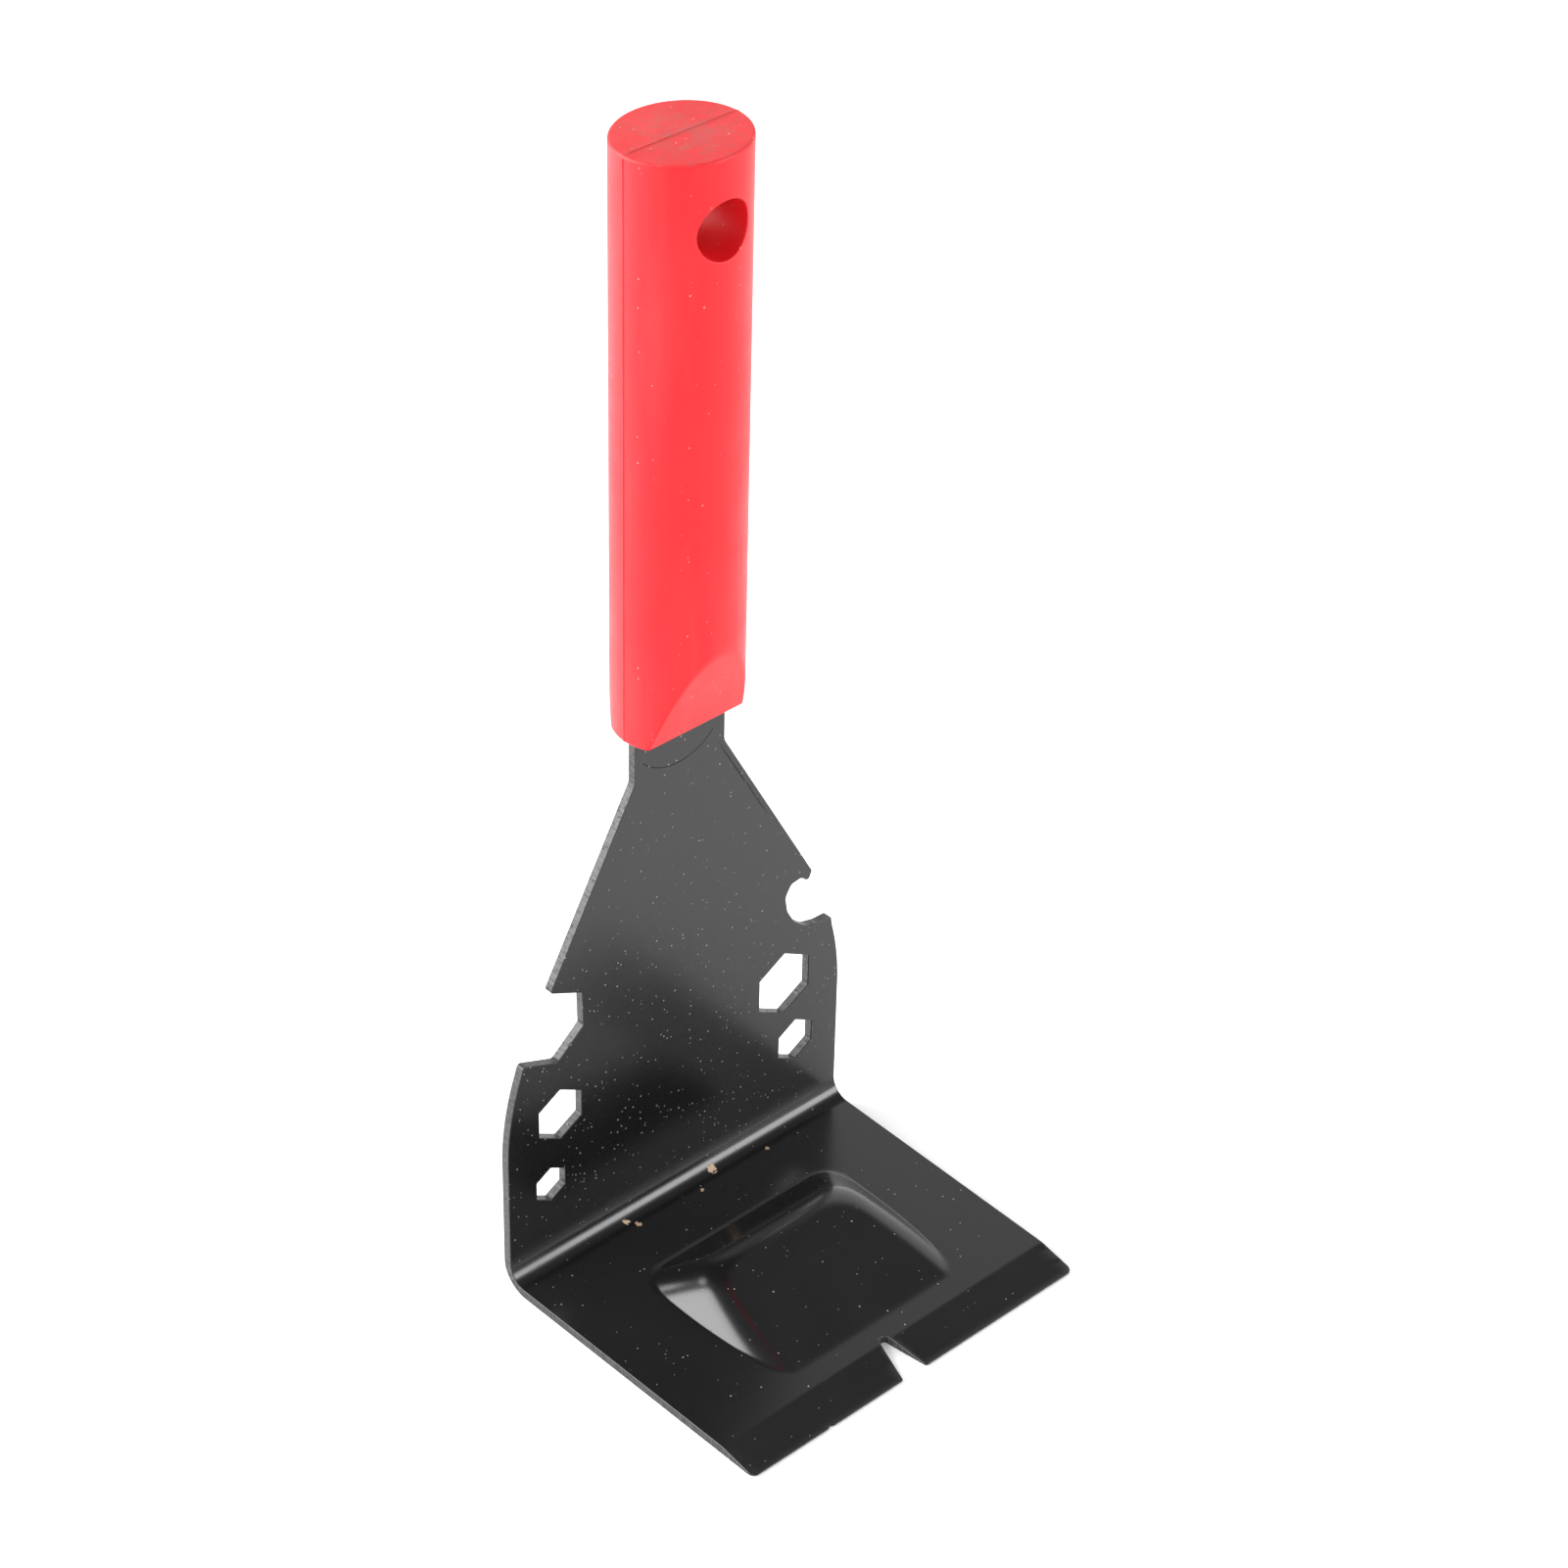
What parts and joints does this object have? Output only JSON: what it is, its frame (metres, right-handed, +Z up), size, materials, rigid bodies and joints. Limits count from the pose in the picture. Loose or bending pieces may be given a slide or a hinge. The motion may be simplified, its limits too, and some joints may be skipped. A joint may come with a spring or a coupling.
{
  "type": "trim puller",
  "caption": "Bent steel pry blade with a bevelled foot, a pressed wedge, spanner holes and edge notches, moulded into an oval plastic handle with a hanging hole.",
  "frame": {"origin": "centre of the overall box in x and y, on the underside of the foot", "axes": "+Z up along the handle, -Y along the foot towards its bevelled tip, +X across the blade"},
  "size_m": [0.1, 0.0952, 0.2732],
  "materials": {
    "blade_coating": "semi-gloss black coating over sheet steel, with greyer sheared edges",
    "handle_plastic": "satin red moulded plastic with a parting line"
  },
  "bodies": {
    "root": {"blade": "blade_coating", "handle": "handle_plastic"}
  },
  "joints": []
}
